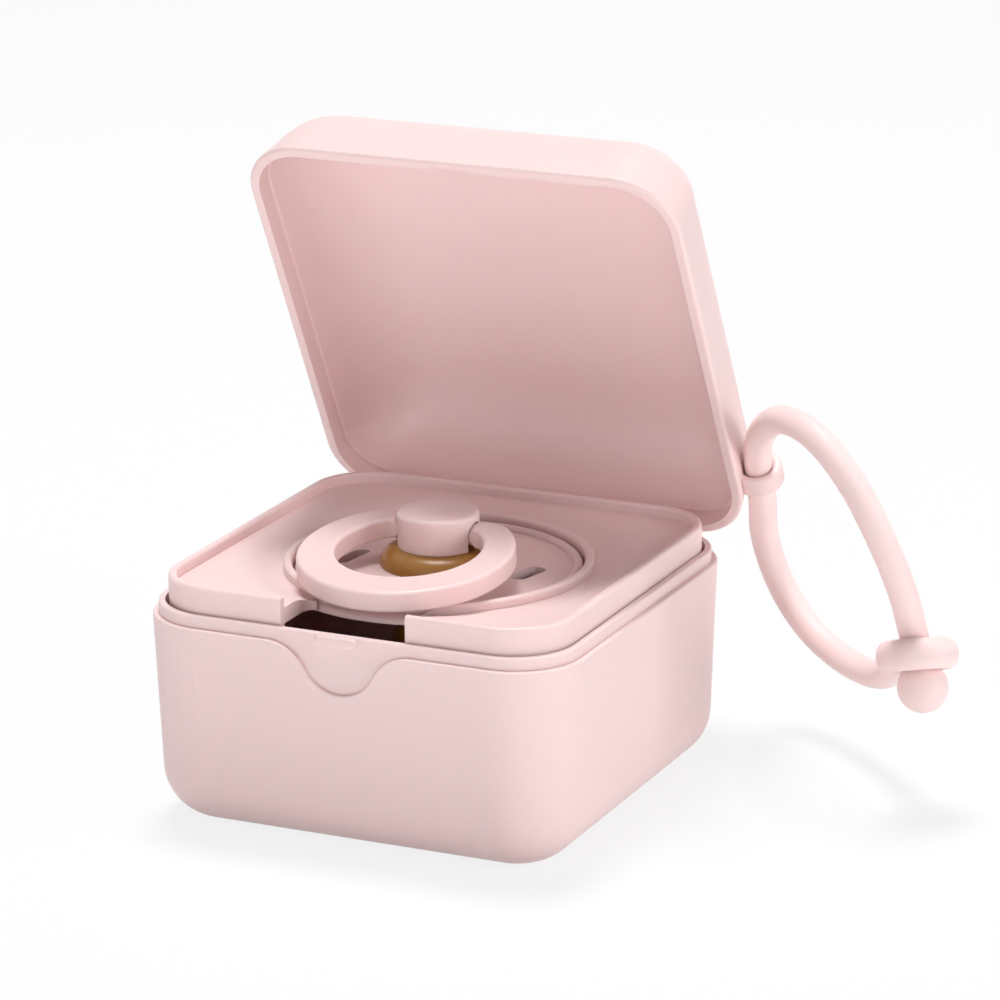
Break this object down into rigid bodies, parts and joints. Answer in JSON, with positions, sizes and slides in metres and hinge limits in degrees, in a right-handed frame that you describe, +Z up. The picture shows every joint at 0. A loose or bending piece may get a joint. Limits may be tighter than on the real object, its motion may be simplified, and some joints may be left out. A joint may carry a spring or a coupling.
{
  "type": "pacifier sterilizer case",
  "caption": "Rounded-square flip-lid case with a lift-out tray that holds a pacifier teat down over the water cup, and a looped carry strap on the lid's ear.",
  "frame": {"origin": "middle of the flat foot that the case stands on", "axes": "+Z up, -Y towards the thumb scoop at the front, +X to the side that carries the strap"},
  "size_m": [0.1119, 0.0835, 0.0985],
  "materials": {
    "case_plastic": "pale pink moulded polypropylene, fine satin",
    "pacifier_plastic": "pale pink moulded polypropylene, satin",
    "strap_silicone": "pale pink soft silicone, matte",
    "teat_rubber": "translucent amber natural rubber, smooth"
  },
  "bodies": {
    "case": {"base_shell": "case_plastic", "hinge_pin": "case_plastic"},
    "lid": {"lid_shell": "case_plastic"},
    "tray": {"tray": "case_plastic"},
    "pacifier": {"pacifier_shield": "pacifier_plastic", "pacifier_teat": "teat_rubber", "pacifier_plug": "pacifier_plastic", "pacifier_knob": "pacifier_plastic"},
    "handle": {"pacifier_handle": "pacifier_plastic"},
    "strap": {"strap_cord": "strap_silicone", "strap_eyelet": "strap_silicone", "strap_bead": "strap_silicone"}
  },
  "joints": [
    {"name": "lid_hinge", "type": "hinge", "parent": "case", "child": "lid", "pos_m": [0, 0.03665, 0.03065], "axis": [-1, 0, 0], "range_deg": [-63, 42]},
    {"name": "tray_lift", "type": "slide", "parent": "case", "child": "tray", "axis": [0, 0, 1], "range_m": [0, 0.021]},
    {"name": "pacifier_lift", "type": "slide", "parent": "tray", "child": "pacifier", "axis": [0, 0, 1], "range_m": [0, 0.033]},
    {"name": "handle_swing", "type": "hinge", "parent": "pacifier", "child": "handle", "pos_m": [0, 0, 0.0404], "axis": [-1, 0, 0], "range_deg": [0, 158]},
    {"name": "strap_swing", "type": "hinge", "parent": "lid", "child": "strap", "pos_m": [0.03676, 0.0377, 0.04313], "axis": [0, 0.454, -0.891], "range_deg": [-30, 38]}
  ]
}
